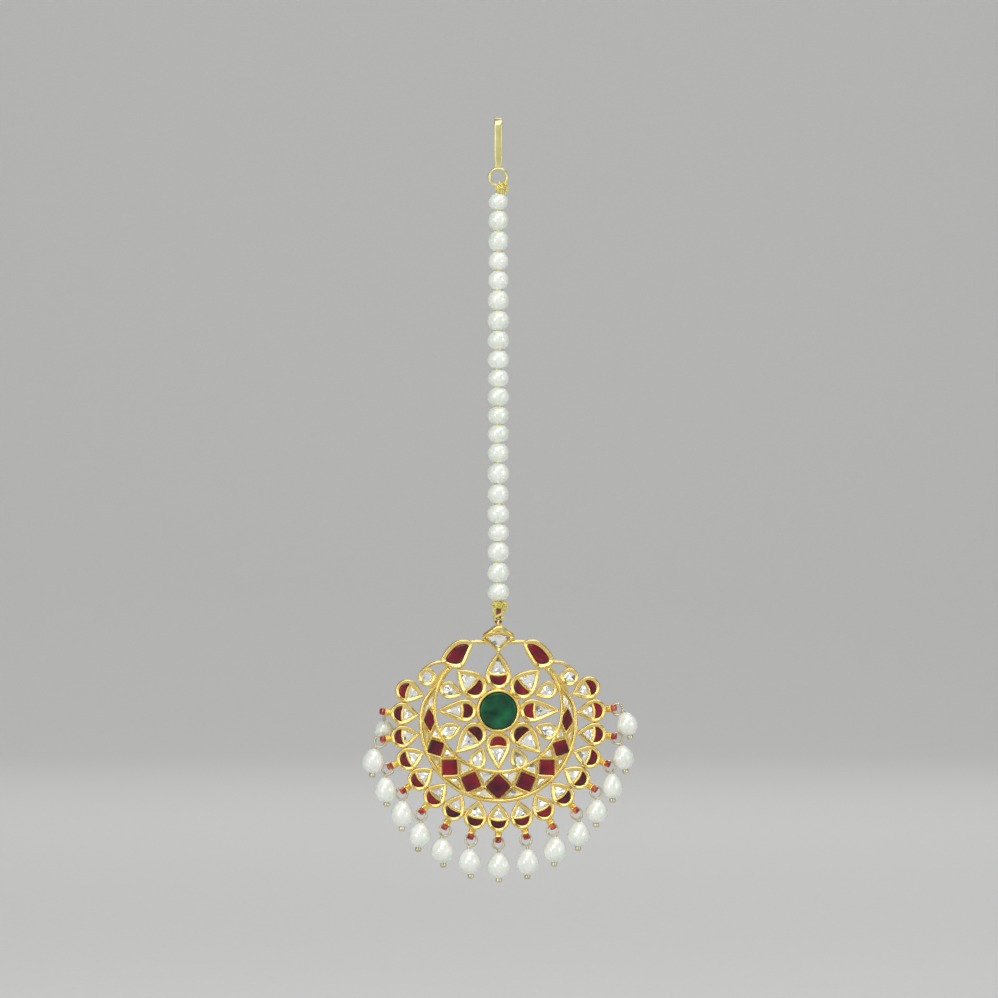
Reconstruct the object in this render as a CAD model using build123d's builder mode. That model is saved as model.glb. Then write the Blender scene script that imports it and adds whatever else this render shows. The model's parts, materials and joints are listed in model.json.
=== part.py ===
"""Maang tikka: a hair hook, a string of round pearls and a stone-set openwork pendant with pearl drops.

Millimetres, +Z up, the front faces -Y. The origin is the inside top of the hook, where it hangs.
"""
import os
from math import atan2, cos, degrees, radians, sin

from build123d import *

os.makedirs("parts", exist_ok=True)

well_outside = 25  # size of what only cuts away

# --- hook -------------------------------------------------------------------
strip_width = 1.7
strip_thickness = 0.7
bend_inner_radius = 1.1
shaft_bottom_z = -9.9
prong_bottom_z = -7.2
prong_flare_radius = 3.0
prong_flare_angle = 25
ring_radius = 1.82  # to the middle of the wire
ring_wire_radius = 0.31
ring_z = -11.82

strip_rounding = 0.18

bend_radius = bend_inner_radius + strip_thickness / 2
bend_centre_z = -bend_inner_radius
string_y = -bend_radius  # the front strip, the string and the pendant hang in this plane

# --- thread -----------------------------------------------------------------
thread_radius = 0.22
top_loop_angle = -62  # where on the hook's ring the thread is tied
top_loop_radius = 0.6
top_knot = {"x": 0.5, "z": -14.55, "width": 1.9, "height": 1.0}
bottom_knot = {"x": 0.0, "z": -101.85, "width": 3.0, "height": 2.2}
bottom_loop_radius = 0.7
knot_rounding = 0.4

# --- string of pearls: one row for each pearl, from the top --------------------
string_top_z = -15.15
pearl_space = 0.2  # left between two pearls, where the thread shows
pearl_hole_radius = 0.32
ellipse_handle = 0.5523  # length of a Bezier handle that makes a quarter of an ellipse
STRING_PEARLS = [  # (pitch along the string, width)
    (3.6, 3.9), (4.2, 4.0), (4.4, 4.0), (4.0, 4.0), (4.1, 4.05), (4.3, 4.2), (4.2, 4.3),
    (4.1, 4.3), (4.0, 4.3), (3.8, 4.15), (4.0, 4.25), (3.8, 4.2), (3.9, 4.2), (4.2, 4.2),
    (4.4, 4.3), (4.2, 4.2), (4.1, 4.3), (3.8, 4.15), (4.3, 4.3), (4.3, 4.3), (3.9, 4.3),
]

# --- pendant ----------------------------------------------------------------
emerald_z = -123.7  # the pendant's own centre
frame_back = -1.2  # levels are measured forward from the pendant's middle plane
rim_level = 1.2
pocket_level = 0.2
emerald_rim_level = 1.9
stone_gap = 0.05
ruby_height = 1.1  # from the pocket's floor; a little prouder than the gold
polki_height = 0.95  # flat diamonds, just below the gold

emerald_radius = 3.8
emerald_bezel_radius = 4.55
emerald_rim_step = 0.1  # its raised rim stands this far inside the bezel's foot
emerald_dome = 0.6  # above its bezel
emerald_dome_radius = 8.6

rim_wall = 0.9  # gold between a petal's outline and its stones
petal_divider = 0.7
petal_fullness = 0.2
PETALS = [  # (angle, tip from the centre, half width)
    (90, 12.15, 2.7), (135, 12.3, 2.8), (180, 13.1, 2.4), (225, 12.7, 2.7),
    (270, 12.55, 2.6), (315, 12.7, 2.75), (0, 13.1, 2.45), (45, 12.3, 2.8),
]
petal_base = 4.45
petal_divider_from_base = 2.85

cell_angles = [157.5, 202.5, 247.5, 292.5, 337.5, 22.5]
cell_tip = 8.3
cell_length = 4.95
cell_half_width = 1.85
cell_wall = 0.77

crescent_outer = {"y": -2.7, "radius": 16.3}
crescent_inner = {"y": 0.55, "radius": 12.9}
crescent_wall = 0.7
crescent_axis_y = -0.95  # the rubies sit on a circle about this point
CRESCENT_RUBIES = [  # (angle either side of the bottom, distance, half diagonal across, half diagonal along)
    (0, 14.9, 2.35, 2.35), (22.3, 15.1, 2.3, 2.3), (43, 14.95, 2.2, 2.2),
    (62.5, 14.8, 1.95, 1.95), (86, 14.45, 1.15, 2.2),
]
crescent_ruby_wall = 0.7
horn_corner = (15.3, 2.4)
horn_tip = (10.1, 9.1)
horn_polki_top = 5.2
smallest_pocket = 0.35

rim_axis_y = -2.7
rim_steps = {"left": 13.7, "right": 13.95}
rim_petal_tip = 16.1
rim_petal_length = 6.4
rim_petal_half_width = 2.5
rim_petal_divider_from_end = 2.5

round_bezel = (14.95, 7.05)
round_bezel_radius = 1.95
round_polki_radius = 1.12

LEAF_BEZEL = {"outer": (11.65, 10.1), "top": (8.75, 14.5), "inner": (5.1, 14.5), "bottom": (8.0, 8.85)}
LEAF_RUBY = {"outer": (10.8, 9.9), "top": (9.15, 12.85), "inner": (6.1, 14.15), "bottom": (7.4, 10.9)}

top_bezel = {"apex": 17.9, "side": 15.0, "tip": 11.8, "half_width": 3.55, "rounding": 0.25}
top_polki = {"top": 16.2, "tip": 13.2, "half_width": 2.1, "rounding": 0.2}

WIRES = [  # (width, points on the right-hand side)
    (0.55, (5.4, 14.2), (2.5, 13.9)),
    (0.6, (9.9, 9.4), (12.7, 5.2)),
    (0.55, (11.4, 10.1), (14.0, 9.6), (15.4, 8.8)),
]
top_eyelet_radius = 0.8
top_eyelet_wire_radius = 0.25
top_eyelet_rise = 0.35  # its centre above the apex

rim_eyelet_distance = 24.1
rim_eyelet_radius = 1.0
rim_eyelet_hole_radius = 0.65
rim_eyelet_length = 0.9
rim_eyelet_flare = 0.2
rim_eyelet_bar = 1.1
rim_eyelet_bar_length = 2.4

# --- drops ------------------------------------------------------------------
drop_loop_radius = 1.05
drop_loop_reach = 0.98  # from the eyelet's centre to the loop's
drop_loop_lean = 22  # most that a loop leans from straight outwards to straight down
drop_wire_radius = 0.16
drop_hole_radius = 0.3
drop_ball_radius = 0.5
neck_length = 0.3
neck_radius = 0.26  # the wire wound round itself between loop and pearl
pearl_upper_share = 0.54  # of a drop pearl's height above its widest line
DROPS = [  # (place on the rim, pearl x, pearl z from the eyelet, tilt, width, height, loop turned edge-on)
    (-7, 2.9, -4.05, 8, 3.8, 4.2, True),
    (-6, -2.35, -4.8, -4, 4.4, 5.0, False),
    (-5, -1.2, -5.3, 3, 4.3, 5.2, False),
    (-4, -0.45, -5.3, -2, 4.4, 5.3, False),
    (-3, -0.6, -5.5, -7, 4.3, 5.1, False),
    (-2, -0.65, -5.5, 4, 4.5, 5.1, False),
    (-1, -0.3, -5.75, 5, 4.55, 5.3, False),
    (0, 0.1, -5.9, 0, 4.45, 5.2, False),
    (1, 0.35, -5.9, -1, 4.5, 5.3, False),
    (2, 0.6, -5.4, -3, 4.55, 5.2, False),
    (3, 0.8, -5.5, -3, 4.5, 5.1, False),
    (4, 0.75, -5.1, -3, 4.4, 4.8, False),
    (5, 1.3, -5.0, 1, 4.2, 5.1, False),
    (6, 2.3, -4.7, 9, 4.2, 4.9, False),
    (7, 3.15, -3.5, 13, 4.2, 4.7, False),
]


def front_plane(level, x=0.0, z=emerald_z):
    """Plane facing the front, `level` forward of the pendant's middle; its y axis points up."""
    return Plane(origin=(x, string_y - level, z), x_dir=(1, 0, 0), z_dir=(0, -1, 0))


def save(piece, name):
    piece.part.label = name
    export_step(piece.part, f"parts/{name}.step")


def drilled_pearl(width, upper, lower, hole_radius):
    """Pearl drilled along its own Z: half an ellipse above the widest line, another below."""
    half = width / 2
    with BuildPart(mode=Mode.PRIVATE) as body:
        with BuildSketch(Plane.XZ):
            with BuildLine():
                Bezier((half, 0), (half, ellipse_handle * upper), (ellipse_handle * half, upper), (0, upper))
                Line((0, upper), (0, -lower))
                Bezier((half, 0), (half, -ellipse_handle * lower), (ellipse_handle * half, -lower), (0, -lower))
            make_face()
            Rectangle(2 * hole_radius, 3 * (upper + lower), mode=Mode.SUBTRACT)
        revolve(axis=Axis.Z)
    return body.part


def teardrop(length, half_width, inset=0.0):
    """Outline with its point at the origin and its round end at x = length."""
    widest = length - half_width
    shoulder = (0.5 + petal_fullness) * half_width
    with BuildSketch(mode=Mode.PRIVATE) as outline:
        with BuildLine():
            ThreePointArc((0, 0), (widest / 2, shoulder), (widest, half_width))
            ThreePointArc((widest, half_width), (length, 0), (widest, -half_width))
            ThreePointArc((widest, -half_width), (widest / 2, -shoulder), (0, 0))
        make_face()
        if inset > 0:
            offset(amount=-inset, kind=Kind.INTERSECTION, mode=Mode.REPLACE)
    return outline.sketch


def polygon(points, round_corners=0.0):
    """Straight-sided outline with its corners rounded."""
    with BuildSketch(mode=Mode.PRIVATE) as outline:
        with BuildLine():
            Polyline(*points, close=True)
        make_face()
        if round_corners > 0:
            fillet(outline.vertices(), radius=round_corners)
    return outline.sketch


def leaf(points, side):
    """Two bowed sides between an outer and an inner corner; side -1 is the left one."""
    at = {name: (side * x, y) for name, (x, y) in points.items()}
    with BuildSketch(mode=Mode.PRIVATE) as outline:
        with BuildLine():
            ThreePointArc(at["outer"], at["top"], at["inner"])
            ThreePointArc(at["inner"], at["bottom"], at["outer"])
        make_face()
    return outline.sketch


def bar(start, end, width):
    """Straight wire seen from the front, with round ends."""
    run = Vector(*end) - Vector(*start)
    middle = (Vector(*end) + Vector(*start)) / 2
    with BuildSketch(mode=Mode.PRIVATE) as outline:
        with Locations(middle):
            SlotCenterToCenter(run.length, width, rotation=degrees(atan2(run.Y, run.X)))
    return outline.sketch


def crescent(wall=0.0):
    """The crescent's outline, its horns cut off straight towards their tips."""
    with BuildSketch(mode=Mode.PRIVATE) as outline:
        with Locations((0, crescent_outer["y"])):
            Circle(crescent_outer["radius"] - wall)
        with Locations((0, crescent_inner["y"])):
            Circle(crescent_inner["radius"] + wall, mode=Mode.SUBTRACT)
        for side in (-1, 1):
            cut = [(horn_corner[0] - wall, horn_corner[1]), (horn_tip[0] - wall, horn_tip[1])]
            beyond = [(0, well_outside), (well_outside, well_outside), (well_outside, 0)]
            add(polygon([(side * x, y) for x, y in cut + beyond]), mode=Mode.SUBTRACT)
    return outline.sketch


def crescent_rubies(wall=0.0):
    """The nine lozenges of the crescent; wall widens them."""
    with BuildSketch(mode=Mode.PRIVATE) as outline:
        for angle, distance, across, along in CRESCENT_RUBIES:
            grow = 1 + wall * (across**2 + along**2) ** 0.5 / (across * along)
            half_x, half_y = along * grow, across * grow
            lozenge = polygon([(half_x, 0), (0, half_y), (-half_x, 0), (0, -half_y)])
            for side in (-1, 1) if angle else (1,):
                turn = radians(side * angle - 90)
                x, y = distance * cos(turn), crescent_axis_y + distance * sin(turn)
                add(lozenge.moved(Location((x, y, 0), side * angle)))
    return outline.sketch


def crescent_triangles(gap=0.0):
    """What the crescent's lozenges leave between its two edges, as pockets for flat diamonds."""
    with BuildSketch(mode=Mode.PRIVATE) as outline:
        add(crescent(crescent_wall + gap))
        add(crescent_rubies(crescent_ruby_wall + gap), mode=Mode.SUBTRACT)
        with Locations((0, horn_polki_top - gap)):
            Rectangle(2 * well_outside, well_outside, align=(Align.CENTER, Align.MIN), mode=Mode.SUBTRACT)
    with BuildSketch(mode=Mode.PRIVATE) as triangles:
        add([face for face in outline.faces() if face.area > smallest_pocket])
    return triangles.sketch


def split_petal(length, half_width, divider, stone):
    """Half of a petal's pocket: the pointed part holds the diamond, the round part the ruby."""
    with BuildSketch(mode=Mode.PRIVATE) as outline:
        add(teardrop(length, half_width, rim_wall))
        edge = divider + petal_divider / 2 if stone == "ruby" else divider - petal_divider / 2
        end = Align.MAX if stone == "ruby" else Align.MIN
        with Locations((edge, 0)):
            Rectangle(well_outside, well_outside, align=(end, Align.CENTER), mode=Mode.SUBTRACT)
    return outline.sketch


def on_rim(k, distance):
    """Centre of the k-th rim place, counted from the bottom, and the angle that points outwards."""
    angle = -90 + k * (rim_steps["left"] if k < 0 else rim_steps["right"])
    x = distance * cos(radians(angle))
    y = rim_axis_y + distance * sin(radians(angle))
    return x, y, angle


def hanging_drop(k, pearl_x, pearl_z, tilt, turned):
    """Centre of a drop's loop and of its pearl, the way its pin runs down, and the loop's normal."""
    x, y, angle = on_rim(k, rim_eyelet_distance)
    eyelet_centre = Vector(x, string_y, emerald_z + y)
    side, up = Vector(0, 1, 0) if turned else Vector(1, 0, 0), Vector(0, 0, 1)
    outwards = 0 if turned else angle
    heading = radians(outwards + max(-drop_loop_lean, min(drop_loop_lean, -90 - outwards)))
    loop = eyelet_centre + (side * cos(heading) + up * sin(heading)) * drop_loop_reach
    pearl = eyelet_centre + side * pearl_x + up * pearl_z
    down = side * sin(radians(tilt)) - up * cos(radians(tilt))
    return loop, pearl, down, side.cross(up)


def petal_pockets(stone):
    with BuildSketch(mode=Mode.PRIVATE) as outline:
        for angle, tip, half_width in PETALS:
            length = tip - petal_base
            pocket = split_petal(length, half_width, length - petal_divider_from_base, stone)
            place = Location((tip * cos(radians(angle)), tip * sin(radians(angle)), 0), angle + 180)
            add(pocket.moved(place))
    return outline.sketch


def rim_pockets(stone):
    divider = rim_petal_length - rim_petal_divider_from_end
    pocket = split_petal(rim_petal_length, rim_petal_half_width, divider, stone)
    with BuildSketch(mode=Mode.PRIVATE) as outline:
        for k in range(-8, 9):
            x, y, angle = on_rim(k, rim_petal_tip)
            add(pocket.moved(Location((x, y, 0), angle)))
    return outline.sketch


def cell_pockets(inset):
    with BuildSketch(mode=Mode.PRIVATE) as outline:
        with Locations(*[Location((cell_tip * cos(radians(a)), cell_tip * sin(radians(a)), 0), a)
                         for a in cell_angles]):
            add(teardrop(cell_length, cell_half_width, inset))
    return outline.sketch


def leaf_pockets():
    with BuildSketch(mode=Mode.PRIVATE) as outline:
        for side in (-1, 1):
            add(leaf(LEAF_RUBY, side))
    return outline.sketch


def round_pockets(radius):
    with BuildSketch(mode=Mode.PRIVATE) as outline:
        with Locations(round_bezel, (-round_bezel[0], round_bezel[1])):
            Circle(radius)
    return outline.sketch


def top_pocket():
    half, top = top_polki["half_width"], top_polki["top"]
    return polygon([(0, top_polki["tip"]), (half, top), (-half, top)], top_polki["rounding"])


def rim_eyelet():
    """Short tube about its own Z with a flared hole, and the bar (towards +Y) that is soldered to the rim."""
    with BuildPart(mode=Mode.PRIVATE) as tube:
        with BuildSketch():
            Circle(rim_eyelet_radius)
            with Locations((0, rim_eyelet_radius)):
                Rectangle(rim_eyelet_bar, rim_eyelet_bar_length)
            Circle(rim_eyelet_hole_radius, mode=Mode.SUBTRACT)
        extrude(amount=rim_eyelet_length / 2, both=True)
        hole_edges = tube.edges().filter_by(GeomType.CIRCLE).group_by(SortBy.RADIUS)[0]
        chamfer(hole_edges, length=rim_eyelet_flare)
    return tube.part


# --- hook with its soldered ring --------------------------------------------
with BuildPart() as hook:
    with BuildSketch(Plane.YZ):
        with Locations((0, bend_centre_z)):
            Circle(bend_inner_radius + strip_thickness)
            Circle(bend_inner_radius, mode=Mode.SUBTRACT)
            Rectangle(well_outside, well_outside, align=(Align.CENTER, Align.MAX), mode=Mode.SUBTRACT)
        with Locations((-bend_radius, bend_centre_z)):
            Rectangle(strip_thickness, bend_centre_z - shaft_bottom_z, align=(Align.CENTER, Align.MAX))
        with Locations((bend_radius, bend_centre_z)):
            Rectangle(strip_thickness, bend_centre_z - prong_bottom_z, align=(Align.CENTER, Align.MAX))
        with BuildLine():
            flare = JernArc((bend_radius, prong_bottom_z), (0, -1), prong_flare_radius, prong_flare_angle)
            offset(flare, amount=strip_thickness / 2, side=Side.BOTH, closed=True, mode=Mode.REPLACE)
        make_face()
    extrude(amount=strip_width / 2, both=True)
    fillet(hook.faces().filter_by(Axis.X).edges(), radius=strip_rounding)
    with Locations((0, string_y, ring_z)):
        Torus(ring_radius, ring_wire_radius, rotation=(90, 0, 0))
save(hook, "hook")

# --- thread: loop, knot, core through the pearls, tufted knot, loop -----------
top_eyelet_z = emerald_z + top_bezel["apex"] + top_eyelet_rise
swing_z = top_eyelet_z + top_eyelet_radius - top_eyelet_wire_radius - thread_radius - stone_gap
tie_x = ring_radius * cos(radians(top_loop_angle))
tie_z = ring_z + ring_radius * sin(radians(top_loop_angle))
with BuildPart() as thread:
    for knot in (top_knot, bottom_knot):
        with Locations((knot["x"], string_y, knot["z"])):
            Cylinder(knot["width"] / 2, knot["height"])
    fillet(thread.edges().filter_by(GeomType.CIRCLE), radius=knot_rounding)
    with Locations((0, string_y, (top_knot["z"] + bottom_knot["z"]) / 2)):
        Cylinder(thread_radius, top_knot["z"] - bottom_knot["z"])
    with Locations(Location((tie_x, string_y, tie_z), (0, -top_loop_angle, 0))):
        Torus(top_loop_radius, thread_radius)
    with BuildLine(Plane(origin=(0, string_y, swing_z), x_dir=(1, 0, 0), z_dir=(0, -1, 0))) as sling:
        side_x, knot_y = bottom_loop_radius, bottom_knot["z"] - swing_z
        Line((-side_x, knot_y), (-side_x, side_x))
        ThreePointArc((-side_x, side_x), (0, 0), (side_x, side_x))
        Line((side_x, side_x), (side_x, knot_y))
    with BuildSketch(Plane(origin=sling.line @ 0, z_dir=sling.line % 0)):
        Circle(thread_radius)
    sweep()
save(thread, "thread")

# --- string pearls ------------------------------------------------------------
pearl_top_z = string_top_z
for number, (pitch, width) in enumerate(STRING_PEARLS, start=1):
    half_height = (pitch - pearl_space) / 2
    with BuildPart() as string_pearl:
        with Locations((0, string_y, pearl_top_z - pitch / 2)):
            add(drilled_pearl(width, half_height, half_height, pearl_hole_radius))
    save(string_pearl, f"string_pearl_{number:02d}")
    pearl_top_z -= pitch

# --- pendant frame: one soldered openwork plate --------------------------------
with BuildPart() as frame:
    with BuildSketch(front_plane(frame_back)):
        Circle(emerald_bezel_radius)
        for angle, tip, half_width in PETALS:
            place = Location((tip * cos(radians(angle)), tip * sin(radians(angle)), 0), angle + 180)
            add(teardrop(tip - petal_base, half_width).moved(place))
        add(cell_pockets(0))
        add(crescent())
        for k in range(-8, 9):
            x, y, angle = on_rim(k, rim_petal_tip)
            add(teardrop(rim_petal_length, rim_petal_half_width).moved(Location((x, y, 0), angle)))
        add(round_pockets(round_bezel_radius))
        for side in (-1, 1):
            add(leaf(LEAF_BEZEL, side))
            for width, *points in WIRES:
                path = [(side * x, y) for x, y in points]
                for start, end in zip(path, path[1:]):
                    add(bar(start, end, width))
        half = top_bezel["half_width"]
        side_y = top_bezel["side"]
        kite = [(0, top_bezel["apex"]), (half, side_y), (0, top_bezel["tip"]), (-half, side_y)]
        add(polygon(kite, top_bezel["rounding"]))
    extrude(amount=rim_level - frame_back)
    with BuildSketch(front_plane(rim_level)):
        Circle(emerald_bezel_radius - emerald_rim_step)
    extrude(amount=emerald_rim_level - rim_level)
    with BuildSketch(front_plane(pocket_level)):
        for stone in ("ruby", "polki"):
            add(petal_pockets(stone))
            add(rim_pockets(stone))
        add(cell_pockets(cell_wall))
        add(crescent_rubies())
        add(crescent_triangles())
        add(leaf_pockets())
        add(round_pockets(round_polki_radius))
        add(top_pocket())
        Circle(emerald_radius)
    extrude(amount=emerald_rim_level - pocket_level, mode=Mode.SUBTRACT)
    with Locations((0, string_y, top_eyelet_z)):
        Torus(top_eyelet_radius, top_eyelet_wire_radius, rotation=(0, 90, 0))
    for k, *_ in DROPS:
        x, y, angle = on_rim(k, rim_eyelet_distance)
        eyelet = Plane(origin=(x, string_y, emerald_z + y), x_dir=(0, 1, 0),
                       z_dir=(-sin(radians(angle)), 0, cos(radians(angle))))
        add(rim_eyelet().moved(eyelet.location))
save(frame, "frame")

# --- stones in their pockets ----------------------------------------------------
with BuildPart(front_plane(pocket_level + stone_gap)) as emerald:
    emerald_height = emerald_rim_level + emerald_dome - pocket_level - stone_gap
    with BuildSketch(front_plane(pocket_level + stone_gap)):
        Circle(emerald_radius - stone_gap)
    extrude(amount=emerald_height)
    with Locations((0, 0, emerald_height - emerald_dome_radius)):
        Sphere(emerald_dome_radius, mode=Mode.INTERSECT)
save(emerald, "emerald")


def save_stones(pocket, name, height, bevel, shrink=stone_gap):
    """One stone for each face of the pocket sketch, standing on the pocket's floor."""
    with BuildPart() as stones:
        with BuildSketch(front_plane(pocket_level + stone_gap)):
            add(pocket)
            if shrink > 0:
                offset(amount=-shrink, kind=Kind.INTERSECTION, mode=Mode.REPLACE)
        extrude(amount=height - bevel)
        if bevel > 0:
            extrude(stones.faces().filter_by(Axis.Y).group_by(Axis.Y)[0], amount=bevel, taper=45)
    save(stones, name)


save_stones(leaf_pockets(), "leaf_rubies", ruby_height, 0.3)
save_stones(petal_pockets("ruby"), "petal_rubies", ruby_height, 0.25)
save_stones(crescent_rubies(), "crescent_rubies", ruby_height, 0.3)
save_stones(rim_pockets("ruby"), "rim_rubies", ruby_height, 0.2)
save_stones(top_pocket(), "top_polki", polki_height, 0.2)
save_stones(round_pockets(round_polki_radius), "round_polkis", polki_height, 0.2)
save_stones(petal_pockets("polki"), "petal_polkis", polki_height, 0.15)
save_stones(cell_pockets(cell_wall), "cell_polkis", polki_height, 0.15)
save_stones(crescent_triangles(stone_gap), "crescent_polkis", polki_height, bevel=0, shrink=0)
save_stones(rim_pockets("polki"), "rim_polkis", polki_height, 0.12)

# --- drops: one head pin and one pearl each ---------------------------------------
with BuildPart() as drop_pins:
    for k, pearl_x, pearl_z, tilt, width, height, turned in DROPS:
        loop, pearl, down, loop_normal = hanging_drop(k, pearl_x, pearl_z, tilt, turned)
        top = pearl - down * (height * pearl_upper_share + neck_length)
        bottom = pearl + down * (height * (1 - pearl_upper_share) + drop_ball_radius)
        neck = loop + (top - loop).normalized() * drop_loop_radius
        with BuildPart(Plane(origin=loop, z_dir=loop_normal), mode=Mode.PRIVATE) as ring:
            Torus(drop_loop_radius, drop_wire_radius)
        add(ring.part)
        for start, end, radius in ((neck, top, neck_radius), (top, bottom, drop_wire_radius)):
            with BuildPart(Plane(origin=start, z_dir=end - start), mode=Mode.PRIVATE) as run:
                Cylinder(radius, (end - start).length, align=(Align.CENTER, Align.CENTER, Align.MIN))
            add(run.part)
        with Locations(bottom):
            Sphere(drop_ball_radius)
save(drop_pins, "drop_pins")

for number, (k, pearl_x, pearl_z, tilt, width, height, turned) in enumerate(DROPS, start=1):
    pearl, down = hanging_drop(k, pearl_x, pearl_z, tilt, turned)[1:3]
    upper = height * pearl_upper_share
    with BuildPart(Plane(origin=pearl, z_dir=-down)) as drop_pearl:
        add(drilled_pearl(width, upper, height - upper, drop_hole_radius))
    save(drop_pearl, f"drop_pearl_{number:02d}")
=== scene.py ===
"""Looks of a maang tikka: a gold hair hook, a string of pearls, and an openwork pendant of ruby,
flat diamond and emerald settings, edged with pearl drops.

Every piece is shaped in millimetres round its own centre, then put in its place in metres.
"""

import json
import random
from math import cos, hypot, pi, radians, sin

import bmesh
import bpy
from mathutils import Matrix, Vector


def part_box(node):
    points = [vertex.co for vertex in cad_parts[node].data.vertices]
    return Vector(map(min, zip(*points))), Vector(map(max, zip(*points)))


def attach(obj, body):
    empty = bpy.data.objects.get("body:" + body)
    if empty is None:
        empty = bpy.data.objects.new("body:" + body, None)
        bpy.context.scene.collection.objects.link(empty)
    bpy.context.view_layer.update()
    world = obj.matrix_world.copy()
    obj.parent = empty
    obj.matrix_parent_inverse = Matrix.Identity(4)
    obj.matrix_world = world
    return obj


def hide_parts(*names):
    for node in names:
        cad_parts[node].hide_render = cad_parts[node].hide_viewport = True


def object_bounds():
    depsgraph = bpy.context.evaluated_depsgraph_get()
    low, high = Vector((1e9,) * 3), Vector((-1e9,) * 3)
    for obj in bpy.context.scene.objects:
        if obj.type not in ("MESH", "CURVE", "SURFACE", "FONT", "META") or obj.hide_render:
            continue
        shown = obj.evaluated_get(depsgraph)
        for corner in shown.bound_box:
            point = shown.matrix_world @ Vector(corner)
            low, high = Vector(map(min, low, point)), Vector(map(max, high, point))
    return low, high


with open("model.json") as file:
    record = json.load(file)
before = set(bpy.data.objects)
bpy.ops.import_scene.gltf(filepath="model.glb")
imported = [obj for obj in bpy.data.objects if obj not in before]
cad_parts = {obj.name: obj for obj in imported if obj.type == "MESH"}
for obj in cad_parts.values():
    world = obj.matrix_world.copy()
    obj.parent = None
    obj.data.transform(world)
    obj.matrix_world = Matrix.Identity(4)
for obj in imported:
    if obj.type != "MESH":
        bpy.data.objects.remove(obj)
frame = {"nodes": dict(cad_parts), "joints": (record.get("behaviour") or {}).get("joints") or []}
cad_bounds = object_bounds()
random.seed(11)

# --- studio: camera, backdrop and lights --------------------------------------
# A long lens looks straight at the piece from the front, level with its middle. Well behind it
# hangs a sweep of pale paper that curves forward into the floor, with room to walk round the piece.
view_width = 0.2096
view_centre = Vector((0.00015, 0, -0.0793))
camera_distance = 1.5
floor_z = cad_bounds[0].z - 0.035
sweep_depth, sweep_size, sweep_height, sweep_bend = 2.9, 8, 3, 1.2

bpy.ops.object.camera_add(location=view_centre - Vector((0, camera_distance, 0)), rotation=(pi / 2, 0, 0))
camera = bpy.context.object
camera.data.lens = camera.data.sensor_width * camera_distance / view_width
bpy.context.scene.camera = camera


def edit():
    """Go into edit mode."""
    bpy.ops.object.mode_set(mode="EDIT")


def leave():
    """Leave edit mode."""
    bpy.ops.object.mode_set(mode="OBJECT")


def deselect():
    """Select nothing, so that the next operator acts only on what is picked for it."""
    if bpy.context.object and bpy.context.object.mode != "OBJECT":
        leave()
    bpy.ops.object.select_all(action="DESELECT")


def take(piece):
    """Select one piece and make it the active one."""
    deselect()
    piece.select_set(True)
    bpy.context.view_layer.objects.active = piece


def pick_all():
    """Pick the whole mesh in edit mode."""
    bpy.ops.mesh.select_all(action="SELECT")


def middle(part):
    """Middle of a vertex, an edge or a face."""
    if isinstance(part, bmesh.types.BMVert):
        return part.co
    return sum((v.co for v in part.verts), Vector()) / len(part.verts)


def pick(kind, test):
    """In edit mode, select the vertices, edges or faces that pass the test, and nothing else."""
    bpy.ops.mesh.select_mode(type=kind)
    bpy.ops.mesh.select_all(action="DESELECT")
    mesh = bmesh.from_edit_mesh(bpy.context.object.data)
    for part in {"VERT": mesh.verts, "EDGE": mesh.edges, "FACE": mesh.faces}[kind]:
        if test(part):
            part.select_set(True)
    mesh.select_flush_mode()
    bmesh.update_edit_mesh(bpy.context.object.data)


def pull(x, y, z):
    """Extrude what is picked in edit mode."""
    bpy.ops.mesh.extrude_region_move(TRANSFORM_OT_translate={"value": (x, y, z)})


def up(distance):
    """Extrude what is picked straight up, or down where the distance is negative."""
    pull(0, 0, distance)


def material(name, **sockets):
    """A new Principled material with values set on its shader."""
    made = bpy.data.materials.new(name)
    made.use_nodes = True
    for socket, value in sockets.items():
        made.node_tree.nodes["Principled BSDF"].inputs[socket.replace("_", " ")].default_value = value
    return made


def add_node(made, kind, *inputs):
    """A new node in a material; each input is a socket's name or number, and what is linked to it."""
    new = made.node_tree.nodes.new("ShaderNode" + kind)
    for socket, output in inputs:
        made.node_tree.links.new(output, new.inputs[socket])
    return new


def feed(made, socket, output):
    """Link an output to a socket of the material's main shader."""
    made.node_tree.links.new(output, made.node_tree.nodes["Principled BSDF"].inputs[socket])


def noise(made, scale, detail=3.0, stretch=(1, 1, 1)):
    """Noise on the piece's own coordinates; scale counts its lumps in a metre."""
    mapping = add_node(made, "Mapping", ("Vector", add_node(made, "TexCoord").outputs["Object"]))
    mapping.inputs["Scale"].default_value = stretch
    texture = add_node(made, "TexNoise", ("Vector", mapping.outputs["Vector"]))
    texture.inputs["Scale"].default_value = scale
    texture.inputs["Detail"].default_value = detail
    return texture.outputs["Fac"]


def tint(made, factor, *stops):
    """Colour the material along a factor; each stop is a position and a colour."""
    ramp = add_node(made, "ValToRGB", ("Fac", factor))
    for index, (position, colour) in enumerate(stops):
        stop = ramp.color_ramp.elements[index] if index < 2 else ramp.color_ramp.elements.new(position)
        stop.position = position
        stop.color = (*colour, 1)
    feed(made, "Base Color", ramp.outputs["Color"])


def roughen(made, factor, low, high):
    """Let the roughness drift with a factor from low to high."""
    drift = add_node(made, "MapRange", ("Value", factor))
    for socket, value in (("From Min", 0.3), ("From Max", 0.7), ("To Min", low), ("To Max", high)):
        drift.inputs[socket].default_value = value
    feed(made, "Roughness", drift.outputs["Result"])


def bump(made, height, distance, strength):
    """Uneven surface; distance is the height of its lumps in metres."""
    lumps = add_node(made, "Bump", ("Height", height))
    lumps.inputs["Strength"].default_value = strength
    lumps.inputs["Distance"].default_value = distance
    feed(made, "Normal", lumps.outputs["Normal"])


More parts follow.
